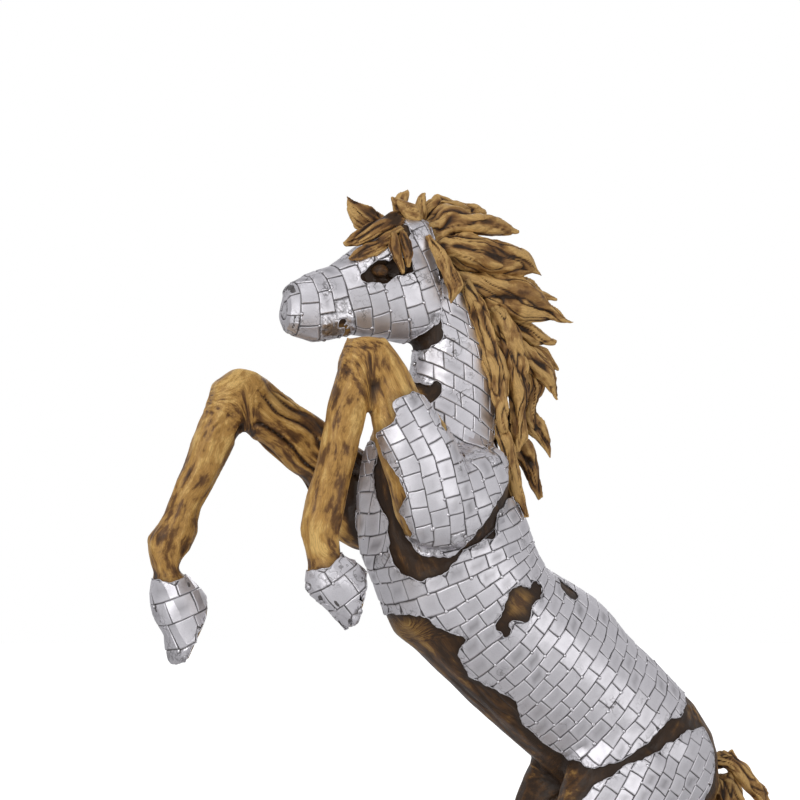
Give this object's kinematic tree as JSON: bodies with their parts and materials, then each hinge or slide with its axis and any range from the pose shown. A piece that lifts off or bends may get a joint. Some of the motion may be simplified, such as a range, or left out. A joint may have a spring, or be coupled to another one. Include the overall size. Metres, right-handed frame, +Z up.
{
  "type": "rearing horse sculpture",
  "caption": "Rearing horse carved in stained wood, partly clad in bright nailed steel plates, with a mane and tail of pointed weathered wood, on a low wooden base.",
  "frame": {"origin": "middle of the base's underside, at floor level", "axes": "+Z up; the horse faces -X, and its left side is at -Y"},
  "size_m": [1.7892, 0.58, 2.5068],
  "materials": {
    "carved_wood": "stained and sealed, satin",
    "steel": "bright satin",
    "weathered_wood": "gnarled, stained and sealed",
    "base_wood": "stained dark, satin"
  },
  "bodies": {
    "root": {"base": "base_wood", "horse_body": "carved_wood", "head_armour": "steel", "neck_armour": "steel", "shoulder_armour_left": "steel", "shoulder_armour_right": "steel", "barrel_armour": "steel", "haunch_armour_left": "steel", "haunch_armour_right": "steel", "hoof_cap_front_left": "steel", "hoof_cap_front_right": "steel", "hoof_cap_hind_left": "steel", "hoof_cap_hind_right": "steel", "ear_right": "weathered_wood", "forelock_long": "weathered_wood", "forelock_low": "weathered_wood", "temple_lock_front": "weathered_wood", "temple_lock_rear": "weathered_wood", "crest_leaf_front": "weathered_wood", "crest_horn_front": "weathered_wood", "crest_horn_rear": "weathered_wood", "mane_top_upper": "weathered_wood", "mane_top_lower": "weathered_wood", "mane_high": "weathered_wood", "mane_broad": "weathered_wood", "mane_side_leaf": "weathered_wood", "mane_strand_front": "weathered_wood", "mane_strand_middle": "weathered_wood", "mane_strand_back": "weathered_wood", "mane_blade": "weathered_wood", "mane_thorn": "weathered_wood", "mane_hook": "weathered_wood", "mane_spur": "weathered_wood", "mane_root": "weathered_wood", "mane_tail_end": "weathered_wood", "mane_high_right": "weathered_wood", "mane_broad_right": "weathered_wood", "mane_strand_right": "weathered_wood", "tail_long": "weathered_wood", "tail_left": "weathered_wood", "tail_right": "weathered_wood", "tail_top": "weathered_wood"}
  },
  "joints": []
}
